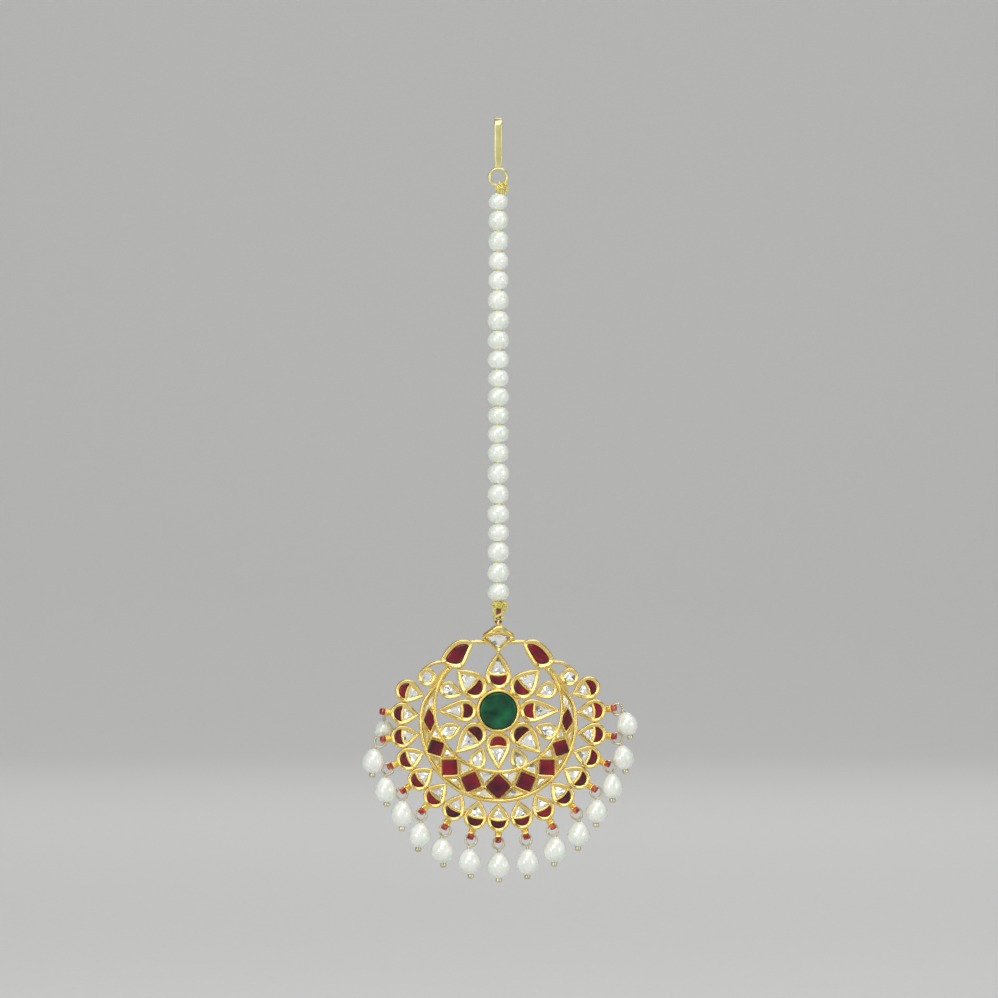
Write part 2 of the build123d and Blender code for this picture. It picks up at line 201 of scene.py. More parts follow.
paper = material("backdrop_paper", Roughness=0.95)
tint(paper, noise(paper, 900), (0.3, (0.78, 0.78, 0.78)), (0.7, (0.81, 0.81, 0.81)))

deselect()
bpy.ops.mesh.primitive_plane_add(size=sweep_size, location=(0, sweep_depth - sweep_size / 2, floor_z))
backdrop = bpy.context.object
bpy.ops.object.transform_apply(location=True)
edit()
pick("EDGE", lambda edge: middle(edge).y > sweep_depth - 0.01)
up(sweep_height)
pick("EDGE", lambda edge: abs(middle(edge).y - sweep_depth) < 0.01 and abs(middle(edge).z - floor_z) < 0.01)
bpy.ops.mesh.bevel(offset=sweep_bend, segments=32)
leave()
bpy.ops.object.shade_smooth()
backdrop.name = "backdrop"
backdrop.data.materials.append(paper)

LIGHTS = [  # (name, x, y, z from the middle of the view, width, height, watts)
    ("left_softbox", -0.8, -1.0, 0.1, 0.42, 0.9, 4.6),
    ("right_softbox", 0.95, -0.8, 0.1, 0.3, 0.9, 3.4),
    ("key_softbox", -0.25, -0.95, 0.85, 0.7, 0.5, 3.6),
    ("top_softbox", 0.2, -0.25, 0.85, 0.9, 0.45, 2.6),
    ("rim_strip_left", -0.8, -0.15, -0.1, 0.2, 0.8, 0.35),
    ("rim_strip_right", 0.8, -0.15, 0.0, 0.2, 0.8, 0.35),
    ("low_card", 0.0, -0.8, -0.75, 0.8, 0.35, 1.0),
    ("front_card", 0.0, -1.9, 0.1, 1.3, 1.1, 1.5),
    ("back_card", 0.2, 1.2, 1.0, 0.9, 0.5, 2.5),
]
for name, x, y, z, width, height, watts in LIGHTS:
    place = view_centre + Vector((x, y, z))
    bpy.ops.object.light_add(type="AREA", location=place)
    light = bpy.context.object
    light.name = name
    light.rotation_euler = (view_centre - place).to_track_quat("-Z", "Y").to_euler()
    light.data.shape = "RECTANGLE"
    light.data.size = width
    light.data.size_y = height
    light.data.energy = watts

# one more light, turned away from the piece, evens out the paper behind it
bpy.ops.object.light_add(type="AREA", location=(0, 1.2, 1.4), rotation=(radians(50), 0, 0))
bpy.context.object.name = "sweep_light"
bpy.context.object.data.size = 1.5
bpy.context.object.data.energy = 9

studio = bpy.data.worlds.new("studio")
studio.use_nodes = True
studio.node_tree.nodes["Background"].inputs["Color"].default_value = (1.0, 0.99, 0.96, 1)
studio.node_tree.nodes["Background"].inputs["Strength"].default_value = 0.25
bpy.context.scene.world = studio
bpy.context.scene.view_settings.view_transform = "Standard"

# --- hook ---------------------------------------------------------------------
# The hook is one strip of pale gold, bent over and left to flare a little at its free end. A ring
# of gold wire is soldered to a narrower tongue at the foot of its front leg.
MM = 0.001
strip_width, strip_thickness, strip_rounding = 1.7, 0.7, 0.3
bend_radius = 1.45  # to the middle of the strip
bend_z = -1.1
shaft_bottom, tongue_bottom, prong_bottom = -8.3, -9.95, -7.2
shoulder, tongue_width = 0.35, 1.4
PRONG_FLARE = ((0.25, -0.7), (0.35, -0.5))  # (back, down) over the prong's last two bends
prong_taper = (0.85, 0.8, 1)
ring_z, ring_radius, ring_wire = -11.82, 1.82, 0.35


def gold(name, light, deep, roughness):
    """Hand-burnished gold: its colour and its polish drift a little, and soft tool marks cover it."""
    made = material(name, Metallic=1.0)
    tint(made, noise(made, 450, 2), (0.3, deep), (0.7, light))
    roughen(made, noise(made, 900, 2), *roughness)
    bump(made, noise(made, 1100, 1), 0.00002, 0.09)
    return made


pale_gold = gold("pale_gold", (0.91, 0.85, 0.43), (0.82, 0.75, 0.33), (0.3, 0.42))


def place(name, made_of, slot, body, stands_for, at=(0, 0, 0), face_front=False):
    """Finish the active piece: from millimetres round `at` to metres, in its place, with its finish.

    A piece that was shaped lying on its back is stood up to face the front.
    """
    piece = bpy.context.object
    take(piece)
    piece.name = name
    piece.data.name = name
    piece.location = at
    piece.scale = (MM, MM, MM)
    piece.rotation_euler = (pi / 2, 0, 0) if face_front else (0, 0, 0)
    bpy.ops.object.transform_apply(location=True, rotation=True, scale=True)
    piece.data.materials.clear()
    piece.data.materials.append(made_of)
    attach(piece, body)
    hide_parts(*stands_for)
    return piece


def modify(kind, **settings):
    """Give the active piece a modifier and apply it."""
    bpy.ops.object.modifier_add(type=kind)
    modifier = bpy.context.object.modifiers[-1]
    for setting, value in settings.items():
        setattr(modifier, setting, value)
    bpy.ops.object.modifier_apply(modifier=modifier.name)


def smoothed(levels=2):
    """Subdivide the active piece smoothly."""
    leave()
    modify("SUBSURF", levels=levels, render_levels=levels)
    bpy.ops.object.shade_smooth()
    return bpy.context.object


def join(pieces):
    """One piece of several."""
    deselect()
    for piece in pieces:
        piece.select_set(True)
    bpy.context.view_layer.objects.active = pieces[0]
    if len(pieces) > 1:
        bpy.ops.object.join()
    return bpy.context.object


def cylinder(radius, length, at, direction=(0, 0, 1), sides=24):
    """A plain cylinder with its middle at a point, along a direction."""
    bpy.ops.mesh.primitive_cylinder_add(vertices=sides, radius=radius, depth=length, location=at,
                                        rotation=Vector(direction).to_track_quat("Z", "Y").to_euler())
    bpy.ops.object.transform_apply(location=True, rotation=True)
    return bpy.context.object


def torus(radius, wire_radius, at, rotation=(0, 0, 0), segments=40, sides=12):
    """A ring of round wire with its middle at a point."""
    bpy.ops.mesh.primitive_torus_add(major_radius=radius, minor_radius=wire_radius, location=at,
                                     rotation=rotation, major_segments=segments, minor_segments=sides)
    bpy.ops.object.transform_apply(location=True, rotation=True)
    bpy.ops.object.shade_smooth()
    return bpy.context.object


deselect()
leg = bend_z - shaft_bottom
bpy.ops.mesh.primitive_cube_add(size=1, location=(0, -bend_radius, bend_z - leg / 2),
                                scale=(strip_width, strip_thickness, leg))
bpy.ops.object.transform_apply(location=True, scale=True)
edit()
pick("FACE", lambda face: face.normal.z < -0.9)
up(-shoulder)
bpy.ops.transform.resize(value=(tongue_width / strip_width, 1, 1))
up(tongue_bottom - shaft_bottom + shoulder)
pick("FACE", lambda face: face.normal.z > 0.9)
bpy.ops.mesh.spin(steps=20, angle=pi, center=(0, 0, bend_z), axis=(1, 0, 0))
up(prong_bottom - sum(down for _, down in PRONG_FLARE) - bend_z)
for back_by, down in PRONG_FLARE:
    pull(0, back_by, down)
bpy.ops.transform.resize(value=prong_taper)
pick_all()
bpy.ops.mesh.remove_doubles(threshold=0.0001)
bpy.ops.mesh.normals_make_consistent(inside=False)
leave()
modify("BEVEL", width=strip_rounding, segments=4, limit_method="ANGLE", angle_limit=radians(50))
bpy.ops.object.shade_smooth_by_angle(angle=radians(35))
strip = bpy.context.object
ring = torus(ring_radius, ring_wire, (0, -bend_radius, ring_z), (pi / 2, 0, 0), segments=56, sides=16)
join([strip, ring])
place("hook", pale_gold, "pale_gold", "string", ["hook"])

# --- string pearls ------------------------------------------------------------
# Round river pearls, drilled through and strung so close that only a glint of the thread shows
# between two of them. Their nacre is cool white with a breath of green.
pearl = material("pearl", IOR=1.6, Coat_Weight=1.0, Coat_Roughness=0.07, Coat_IOR=1.75,
                 Subsurface_Weight=0.08, Subsurface_Scale=0.0006)
tint(pearl, noise(pearl, 500, 3, (1, 1, 0.6)), (0.3, (0.82, 0.88, 0.77)), (0.55, (0.92, 0.96, 0.88)),
     (0.75, (0.98, 0.99, 0.93)))
roughen(pearl, noise(pearl, 1500, 2), 0.22, 0.36)
bump(pearl, noise(pearl, 600, 2), 0.00005, 0.3)

drill_rim, drill_depth = 0.09, 0.12  # the dimple at each end of a pearl's hole
narrow_from, narrow_reach = 0.3, 0.45  # where an egg narrows, as shares of its height
string_wider, string_taller, string_closer = 1.12, 1.08, 0.14  # what the smoothing takes off a string pearl


def drilled_pearl(width, height, narrow=1.0):
    """A pearl about its own centre, drilled along Z; narrow below 1 makes its upper end slimmer."""
    bpy.ops.mesh.primitive_uv_sphere_add(segments=24, ring_count=16, radius=1,
                                         scale=(width / 2, width / 2, height / 2))
    bpy.ops.object.transform_apply(scale=True)
    edit()
    if narrow < 1:
        pick("VERT", lambda v: v.co.z > height * narrow_from)
        bpy.ops.transform.resize(value=(narrow, narrow, 1), center_override=(0, 0, height * narrow_from),
                                 use_proportional_edit=True, proportional_edit_falloff="SMOOTH",
                                 proportional_size=height * narrow_reach)
    pick("VERT", lambda v: hypot(v.co.x, v.co.y) < 0.01)
    bpy.ops.mesh.dissolve_verts()
    pick("FACE", lambda face: abs(face.normal.z) > 0.98)
    bpy.ops.mesh.inset(thickness=drill_rim, depth=-drill_depth, use_individual=True)
    leave()
    return smoothed(1)


for number in range(1, 22):
    node = f"string_pearl_{number:02d}"
    low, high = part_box(node)
    width, height = (high.x - low.x) / MM, (high.z - low.z) / MM
    deselect()
    drilled_pearl(width * string_wider, height * string_taller + string_closer)
    bpy.context.object.rotation_euler = (random.uniform(-0.12, 0.12), random.uniform(-0.12, 0.12),
                                         random.uniform(0, 6))
    bpy.ops.object.transform_apply(rotation=True)
    place(node, pearl, "pearl", "string", [node], at=(low + high) / 2)

# --- thread -------------------------------------------------------------------
# Gold silk, tied by hand: a hitch and a small knot at the ring, the core through the pearls with a
# turn between every two, a tufted knot under the last one, and a loop of two strands that holds
# the pendant. The loop is plaited over a wine-red core.
silk = material("gold_silk", Roughness=0.38, Metallic=0.3, Sheen_Weight=0.3)
tint(silk, noise(silk, 2400, 3), (0.3, (0.62, 0.51, 0.05)), (0.7, (0.97, 0.88, 0.30)))
bump(silk, noise(silk, 6000, 2, (1, 1, 0.3)), 0.00005, 0.35)

wine_silk = material("wine_silk", Roughness=0.5, Sheen_Weight=0.3)
tint(wine_silk, noise(wine_silk, 2400, 3), (0.3, (0.10, 0.012, 0.006)), (0.7, (0.34, 0.07, 0.02)))
bump(wine_silk, noise(wine_silk, 6000, 2, (1, 1, 0.3)), 0.00005, 0.6)

string_y = -1.45
top_knot, bottom_knot = Vector((0.55, string_y - 0.3, -14.2)), Vector((0, string_y, -101.45))
hinge = Vector(frame["joints"][0]["pos_m"]) / MM
strand = 0.34  # thickness of a strand of the top knot
hitch_radii = (0.6, 0.55)
gap_turn_radius, gap_turn_wire = 0.68, 0.26
tufts_a_side = 9
TOP_TUFTS = [  # (out to the side, rise, droop)
    (1.1, 1.5, -1.5), (1.5, 1.1, -0.9), (0.6, 1.3, -2.0), (1.7, 0.4, 0.4), (-1.2, 0.4, 0.3),
    (0.5, -0.3, 1.6), (1.3, 0.1, 1.2), (-0.3, 0.6, -1.6), (0.2, -0.2, 1.8),
]
HALF_TURN = [  # (x, z from the hinge) of the core where it passes through the pendant's eyelet
    (0.3, 1.3), (0.55, 0.9), (0.62, 0.1), (0.25, -0.1), (-0.25, -0.1), (-0.62, 0.1), (-0.55, 0.9),
    (-0.3, 1.3),
]


def wire(points, thickness, closed=False, bends=4):
    """A round wire or thread bent smoothly through its points."""
    curve = bpy.data.curves.new("wire", "CURVE")
    curve.dimensions = "3D"
    curve.bevel_depth = thickness / 2
    curve.bevel_resolution = 1
    curve.use_fill_caps = True
    spline = curve.splines.new("NURBS")
    spline.points.add(len(points) - 1)
    for point, spot in zip(spline.points, points):
        point.co = (*spot, 1)
    spline.order_u = 3
    spline.use_endpoint_u = not closed
    spline.use_cyclic_u = closed
    spline.resolution_u = bends
    bent = bpy.data.objects.new("wire", curve)
    bpy.context.scene.collection.objects.link(bent)
    take(bent)
    bpy.ops.object.convert(target="MESH")
    bpy.ops.object.shade_smooth()
    return bpy.context.object


def tangle(centre, size, turns, thickness):
    """A knot: thin strands that run round its centre, each tilted its own way."""
    strands = []
    for _ in range(turns):
        tilt = Matrix.Rotation(random.uniform(0, pi), 3, "Z")
        tilt = tilt @ Matrix.Rotation(random.uniform(-0.7, 0.7), 3, "X")
        wide, tall = random.uniform(0.75, 1.05), random.uniform(0.6, 1.0)
        loop = [centre + tilt @ Vector((size[0] * wide * cos(t), size[1] * sin(t), 0)) * 0.5
                + Vector((0, 0, size[2] * tall * 0.5 * sin(2 * t + wide * 9)))
                for t in (n * pi / 4 for n in range(8))]
        strands.append(wire(loop, thickness, closed=True, bends=3))
    return strands


def tuft(centre, out, rise, droop, thickness):
    """A loose end that leaves a knot sideways, arches over and curls in again."""
    forward = random.uniform(-0.8, 0.0)
    return wire([centre, centre + Vector((out * 0.4, forward * 0.6, rise)),
                 centre + Vector((out * 0.85, forward, rise * 0.6)),
                 centre + Vector((out * 1.1, forward, -droop * 0.4)),
                 centre + Vector((out * random.uniform(0.5, 1.1), forward * 0.7, -droop))], thickness)


tie_angle = radians(-62)
tie = Vector((ring_radius * cos(tie_angle), string_y, ring_z + ring_radius * sin(tie_angle)))
strands = tangle(top_knot, (2.2, 1.6, 1.7), 12, strand)
for shift in (-0.35, -0.05, 0.28):
    lean = Matrix.Rotation(-tie_angle + shift, 3, "Y")
    hitch = [tie + lean @ Vector((hitch_radii[0] * cos(t), hitch_radii[1] * sin(t), 0))
             + Vector((shift, 0, 0)) for t in (n * pi / 4 for n in range(8))]
    strands.append(wire(hitch, strand, closed=True))
for out, rise, droop in TOP_TUFTS:
    strands.append(tuft(top_knot, out, rise, droop, 0.3))
strands.append(cylinder(0.2, top_knot.z - bottom_knot.z, (0, string_y, (top_knot.z + bottom_knot.z) / 2),
                        sides=12))
for number in range(1, 21):
    above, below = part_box(f"string_pearl_{number:02d}"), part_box(f"string_pearl_{number + 1:02d}")
    gap_z = (above[0].z + below[1].z) / 2 / MM
    strands.append(torus(gap_turn_radius, gap_turn_wire, (0, string_y, gap_z), segments=16, sides=8,
                         rotation=(random.uniform(-0.3, 0.3), random.uniform(-0.3, 0.3), 0)))
strands += tangle(bottom_knot, (2.1, 1.8, 0.9), 12, 0.3)
for side, far, fall in ((-1, 1.75, 0.7), (1, 2.0, 1.6)):
    for _ in range(tufts_a_side):
        strands.append(tuft(bottom_knot, side * random.uniform(0.9, far), random.uniform(-0.1, 0.9),
                            random.uniform(-0.2, fall), random.uniform(0.2, 0.32)))
loop_top = bottom_knot.z - 0.6
for side in (-1, 1):
    route = [(side * 0.3, 0, loop_top), (side * 1.05, 0, loop_top - 0.4), (side * 1.05, 0, loop_top - 1.1),
             (-side * 0.1, -side * 0.35, loop_top - 1.8), (-side * 0.95, 0, loop_top - 2.1),
             (-side * 0.9, 0, hinge.z + 0.9), (-side * 0.5, 0, hinge.z + 0.4)]
    strands.append(wire([Vector((x, string_y + y, z)) for x, y, z in route], 0.64))
join(strands)
place("thread", silk, "thread", "string", ["thread"])
core = wire([(0, string_y + 0.1, loop_top), (0.1, string_y + 0.05, loop_top - 0.8),
             (-0.1, string_y + 0.1, loop_top - 1.8), (0, string_y + 0.05, hinge.z + 1.1)], 1.0)
half_turn = wire([(x, string_y, hinge.z + z) for x, z in HALF_TURN], 0.5)
join([core, half_turn])
place("thread_core", wine_silk, "thread", "string", ["thread"])

# --- emerald and its bezel ----------------------------------------------------
# A round, low-domed emerald stands proud of the flower. A thick gold collar with a wider foot is
# turned in over its edge to hold it.
low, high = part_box("emerald")
pendant_at = Vector(((low.x + high.x) / 2, string_y * MM, (low.z + high.z) / 2))
emerald_radius = (high.x - low.x) / 2 / MM
back, back_round = -1.2, 0.3  # level of the pendant's back, and how much its edges are rounded

FOOT_EDGE = ((0.1, 0.14), (0.1, 0.0))  # (inwards, up), ring by ring
COLLAR_EDGE = ((0.14, 0.18), (0.2, 0.06), (0.24, -0.06), (0.2, -0.34))
EMERALD_DOME = ((0.08, 0.2), (0.18, 0.2), (0.19, 0.07), (0.9, 0.1), (1.0, 0.05))
foot_radius, foot_top, collar_height, seat_depth = 4.78, 0.8, 0.8, 1.0
emerald_under = 0.12  # how far the stone runs under its collar
emerald_bottom, girdle = 1.0, 0.72

yellow_gold = gold("yellow_gold", (0.99, 0.80, 0.30), (0.92, 0.68, 0.19), (0.19, 0.32))


def step_in(*profile, even=False):
    """Step the picked face inwards and up, ring by ring: the section of a setting's edge."""
    for inwards, rise in profile:
        bpy.ops.mesh.inset(thickness=inwards, depth=rise, use_even_offset=even)


def outwards():
    """Turn every face of the piece outwards."""
    pick_all()
    bpy.ops.mesh.normals_make_consistent(inside=False)


def wall_up(wall_top, edge, even=False):
    """Raise a flat outline to a wall, round its back, and turn the top over into a soft edge."""
    bpy.ops.mesh.select_mode(type="FACE")
    pick_all()
    up(0.7)
    up(wall_top - back - back_round - 0.7)
    outwards()
    pick("FACE", lambda face: face.normal.z < -0.9)
    step_in((back_round, back_round))
    pick("FACE", lambda face: face.normal.z > 0.9)
    step_in(*edge, even=even)


def crease(test, amount):
    """Keep the edges that pass the test from rounding off."""
    pick("EDGE", test)
    bpy.ops.transform.edge_crease(value=amount)


def finish_gold(name, parts):
    """Join parts of the pendant's gold to one piece and put it in its place."""
    join(parts)
    place(name, yellow_gold, "gold", "pendant", ["frame"], pendant_at, face_front=True)


def disc(radius, level, sides, x=0.0, y=0.0):
    """A flat round outline, in edit mode."""
    deselect()
    bpy.ops.mesh.primitive_circle_add(vertices=sides, radius=radius, fill_type="NGON", location=(x, y, level))
    bpy.ops.object.transform_apply(location=True)
    edit()


disc(foot_radius, back + back_round, 32)
wall_up(foot_top, FOOT_EDGE)
up(collar_height)
step_in(*COLLAR_EDGE)
up(-seat_depth)
outwards()
finish_gold("emerald_bezel", [smoothed(2)])


def gem(name, colours, patch, planes_scale, tilt_by, **sockets):
    """A clear stone over foil: light comes back through small planes at slightly different tilts,
    and its colour pools in patches. Without a patch scale, each plane takes a colour of its own,
    and the dark stops paint reflections into some planes."""
    made = material(name, **sockets)
    planes = add_node(made, "TexVoronoi", ("Vector", add_node(made, "TexCoord").outputs["Object"]))
    planes.inputs["Scale"].default_value = planes_scale
    tilt = add_node(made, "VectorMath", (0, planes.outputs["Color"]))
    tilt.operation = "MULTIPLY_ADD"
    tilt.inputs[1].default_value = (tilt_by, tilt_by, tilt_by)
    tilt.inputs[2].default_value = (-tilt_by / 2, -tilt_by / 2, -tilt_by / 2)
    surface = add_node(made, "NewGeometry")
    total = add_node(made, "VectorMath", (0, surface.outputs["Normal"]), (1, tilt.outputs["Vector"]))
    total.operation = "ADD"
    unit = add_node(made, "VectorMath", (0, total.outputs["Vector"]))
    unit.operation = "NORMALIZE"
    feed(made, "Normal", unit.outputs["Vector"])
    if patch:
        factor = noise(made, patch, 2)
    else:
        factor = add_node(made, "SeparateColor", ("Color", planes.outputs["Color"])).outputs["Red"]
    tint(made, factor, *colours)
    return made


emerald_green = gem("emerald", ((0.3, (0.0, 0.032, 0.013)), (0.5, (0.0, 0.07, 0.026)),
                                (0.74, (0.002, 0.14, 0.05))), 360, 260, 0.03, Roughness=0.25,
                    Specular_IOR_Level=0.08, Coat_Weight=1.0, Coat_IOR=1.4, Coat_Roughness=0.03)

disc(emerald_radius + emerald_under, emerald_bottom, 32)
pick_all()
up(girdle)
step_in(*EMERALD_DOME)
outwards()
smoothed(2)
place("emerald", emerald_green, "emerald", "pendant", ["emerald"], pendant_at, face_front=True)

# --- petals -------------------------------------------------------------------
# Eight teardrop settings round the emerald. Each is a gold cell with a bulging edge and a curved
# bar across it: a half-moon ruby sits next to the emerald, a flat diamond towards the tip.
PETALS = [  # (angle, tip from the centre, half width)
    (90, 12.45, 2.75), (135, 12.3, 2.8), (180, 13.1, 2.45), (225, 12.7, 2.7),
    (270, 12.55, 2.65), (315, 12.7, 2.75), (0, 13.1, 2.5), (45, 12.3, 2.8),
]
petal_base, petal_sharpness = 4.4, 1.6
petal_bar_from_base = 3.4
bar_bow, bar_lift = 0.35, 0.06  # how far a bar is bowed towards its ruby, and raised
swell = 0.06  # what the smoothing takes off an outline
wall_top = 0.85
# edges go from the wall to the flat land inside it, lips from the land down to the stone: (inwards, up)
PETAL_EDGE = ((0.12, 0.2), (0.18, 0.13), (0.18, -0.02), (0.16, -0.1))
PETAL_RUBY_LIP = ((0.12, -0.02), (0.14, -0.1), (0.14, -0.18))
RUBY_LIP = ((0.10, -0.02), (0.10, -0.08), (0.10, -0.16))
POLKI_LIP = ((0.12, -0.02), (0.16, -0.08), (0.18, -0.16))
PETAL_POLKI_LIP = ((0.10, -0.02), (0.12, -0.08), (0.13, -0.16))
pocket_depth = 0.5
tip_crease = 0.7


def teardrop(length, half_width, sharpness):
    """A flat teardrop lying on its back: its round end is centred on the origin, its tip points to -X."""
    radius = half_width + swell
    disc(radius, back + back_round, 16)
    pick("VERT", lambda v: v.co.x < -0.999 * radius)
    bpy.ops.transform.translate(value=(2 * radius - length - 2 * swell, 0, 0), use_proportional_edit=True,
                                proportional_edit_falloff="SHARP", proportional_size=sharpness * half_width)


def centre_of_picked():
    """Middle of the vertices that are picked in edit mode."""
    picked = [v.co for v in bmesh.from_edit_mesh(bpy.context.object.data).verts if v.select]
    return sum(picked, Vector()) / len(picked)


def pocket(lip, squeeze=(1, 1), even=False, rounding=0):
    """Turn the picked gold in and down, and sink a pocket there. Returns the outline of the stone for it."""
    step_in(*lip, even=even)
    bpy.ops.transform.resize(value=(*squeeze, 1), center_override=centre_of_picked())
    bpy.ops.mesh.vertices_smooth(factor=0.5, repeat=rounding)
    up(-pocket_depth)
    bpy.ops.mesh.duplicate()
    bpy.ops.mesh.separate(type="SELECTED")
    stone = next(piece for piece in bpy.context.selected_objects if piece != bpy.context.object)
    stone.select_set(False)
    return stone


def land(edge):
    """Level of the flat gold inside an edge."""
    return wall_top + sum(rise for _, rise in edge)


def split_setting(length, half_width, sharpness, bar_x, edge, ruby_lip, polki_lip, polki_squeeze):
    """A teardrop setting with a bowed bar that parts its ruby from its diamond, and both stones' outlines."""
    teardrop(length, half_width, sharpness)
    wall_up(wall_top, edge)
    pick_all()
    bpy.ops.mesh.bisect(plane_co=(bar_x, 0, 0), plane_no=(1, 0, 0))
    level = land(edge)
    pick("EDGE", lambda e: all(abs(v.co.x - bar_x) < 0.01 and abs(v.co.z - level) < 0.01 for v in e.verts)
         and e.calc_length() > half_width * 0.8)
    bpy.ops.mesh.subdivide(number_cuts=3)
    for reach, share in ((0.2, 0.35), (half_width * 0.55, 0.65)):
        pick("VERT", lambda v: abs(v.co.y) < reach and abs(v.co.z - level) < 0.2
             and -0.01 < v.co.x - bar_x < bar_bow)
        bpy.ops.transform.translate(value=(bar_bow * share, 0, bar_lift))
    outlines = []
    for lip, squeeze, beyond in ((ruby_lip, (1, 0.96), 1), (polki_lip, polki_squeeze, -1)):
        pick("FACE", lambda face: face.normal.z > 0.7 and abs(middle(face).z - level) < 0.15
             and face.calc_area() > 1.0 and (middle(face).x - bar_x - bar_bow * 0.5) * beyond > 0)
        outlines.append(pocket(lip, squeeze))
    crease(lambda e: all(abs(v.co.y) < 0.001 and v.co.x < -half_width * 0.5 for v in e.verts), tip_crease)
    outwards()
    return smoothed(2), *outlines


def put(pieces, angle, x, y, scale=1.0):
    """Turn flat-lying pieces about the origin and carry them to their place."""
    deselect()
    for piece in pieces:
        piece.select_set(True)
        bpy.context.view_layer.objects.active = piece
        piece.rotation_euler = (0, 0, radians(angle))
        piece.scale = (scale, scale, 1)
        piece.location = (x, y, 0)
    bpy.ops.object.transform_apply(location=True, rotation=True, scale=True)
    return pieces


bezels, rubies, polkis = [], [], []
for angle, tip, half_width in PETALS:
    pieces = split_setting(tip - petal_base, half_width, petal_sharpness, half_width - petal_bar_from_base,
                           PETAL_EDGE, PETAL_RUBY_LIP, PETAL_POLKI_LIP, (1, 0.88))
    out = petal_base + half_width
    put(pieces, angle + 180, out * cos(radians(angle)), out * sin(radians(angle)))
    for piece, group in zip(pieces, (bezels, rubies, polkis)):
        group.append(piece)
finish_gold("petal_bezels", bezels)

ruby_red = gem("ruby", ((0.32, (0.035, 0.0, 0.007)), (0.5, (0.12, 0.0008, 0.015)),
                        (0.66, (0.25, 0.003, 0.014))), 190, 420, 0.03, Roughness=0.25,
               Specular_IOR_Level=0.1, Coat_Weight=1.0, Coat_IOR=1.45, Coat_Roughness=0.05)
# a flat diamond's dark grey planes are painted reflections; the rest is the white of its foil
polki_white = gem("polki", ((0.0, (0.22, 0.22, 0.21)), (0.08, (0.36, 0.36, 0.34)), (0.11, (0.86, 0.87, 0.82)),
                            (1.0, (0.98, 0.98, 0.95))), None, 1000, 0.7, Metallic=0.6, Roughness=0.14,
                  Coat_Weight=0.6, Coat_Roughness=0.05)

ruby_under, polki_under = 1.05, 1.04  # how far a stone runs under its gold, as a share of its pocket
TABLE = (0.62, 0.12)  # (size, rise) of a flat diamond's top
table_point, table_shift, table_wobble = 0.03, 0.3, 0.06


def stone(outline, grow, *profile):
    """Raise an outline to a stone: it runs a little way under its gold, then narrows as it rises."""
    take(outline)
    edit()
    pick_all()
    if bmesh.from_edit_mesh(outline.data).faces[:][0].normal.z < 0:
        bpy.ops.mesh.flip_normals()
    size = 1.0
    for narrower, rise in ((grow, 0), *profile):
        if rise:
            up(rise)
        bpy.ops.transform.resize(value=(narrower / size, narrower / size, 1),
                                 center_override=centre_of_picked())
        size = narrower


def set_rubies(name, outlines, *profile):
    """Rubies with a rounded edge and an almost flat top."""
    for outline in outlines:
        stone(outline, ruby_under, *profile)
        outwards()
        leave()
    join(outlines)
    smoothed(2)
    place(name, ruby_red, "ruby", "pendant", [name], pendant_at, face_front=True)


def set_polkis(name, outlines, rise=0.42):
    """Flat diamonds: a sloping girdle, and a table cut in a few uneven planes."""
    for outline in outlines:
        stone(outline, polki_under, (1.0, rise), TABLE)
        bpy.ops.mesh.poke(offset=table_point)
        pick("VERT", lambda v: all(face.normal.z > 0.3 for face in v.link_faces))
        bpy.ops.transform.translate(value=(random.uniform(-table_shift, table_shift),
                                           random.uniform(-table_shift, table_shift), 0))
        top = max(v.co.z for v in bmesh.from_edit_mesh(outline.data).verts)
        pick("VERT", lambda v: v.co.z > top - 0.1)
        bpy.ops.transform.vertex_random(offset=table_wobble, uniform=0.5, seed=random.randrange(99))
        outwards()
        leave()
    join(outlines)
    bpy.ops.object.shade_flat()
    place(name, polki_white, "polki", "pendant", [name], pendant_at, face_front=True)


HALF_MOON = ((1.03, 0.38), (0.95, 0.10), (0.82, 0.08), (0.5, 0.03))  # (size, rise) up a ruby's side
set_rubies("petal_rubies", rubies, *HALF_MOON)
set_polkis("petal_polkis", polkis)

# --- cells between the petals -------------------------------------------------
# Six smaller teardrop settings, each with a single flat diamond, are soldered into the gaps between
# the petals. One is made and copied.
CELL_ANGLES = (157.5, 202.5, 247.5, 292.5, 337.5, 22.5)
cell_inner, cell_length, cell_half_width = 8.3, 4.95, 1.85
CELL_EDGE = ((0.09, 0.2), (0.12, 0.10), (0.12, -0.02), (0.10, -0.1))


def spread(pieces, spots):
    """Copies of the pieces, each with its own mesh, at each (x, y, angle, scale), in place of the pieces.

    Returns one list of copies for each piece.
    """
    groups = [[] for _ in pieces]
    for x, y, angle, scale in spots:
        for piece, group in zip(pieces, groups):
            group.append(piece.copy())
            group[-1].data = piece.data.copy()
            bpy.context.scene.collection.objects.link(group[-1])
        put([group[-1] for group in groups], angle, x, y, scale)
    for piece in pieces:
        bpy.data.objects.remove(piece)
    return groups


teardrop(cell_length, cell_half_width, petal_sharpness)
wall_up(wall_top, CELL_EDGE)
outline = pocket(POLKI_LIP)
crease(lambda e: all(abs(v.co.y) < 0.001 and v.co.x < -cell_half_width * 0.5 for v in e.verts), tip_crease)
outwards()
out = cell_inner + cell_length - cell_half_width
spots = [(out * cos(radians(angle)), out * sin(radians(angle)), angle, 1) for angle in CELL_ANGLES]
bezels, polkis = spread((smoothed(2), outline), spots)
finish_gold("cell_bezels", bezels)
set_polkis("cell_polkis", polkis)

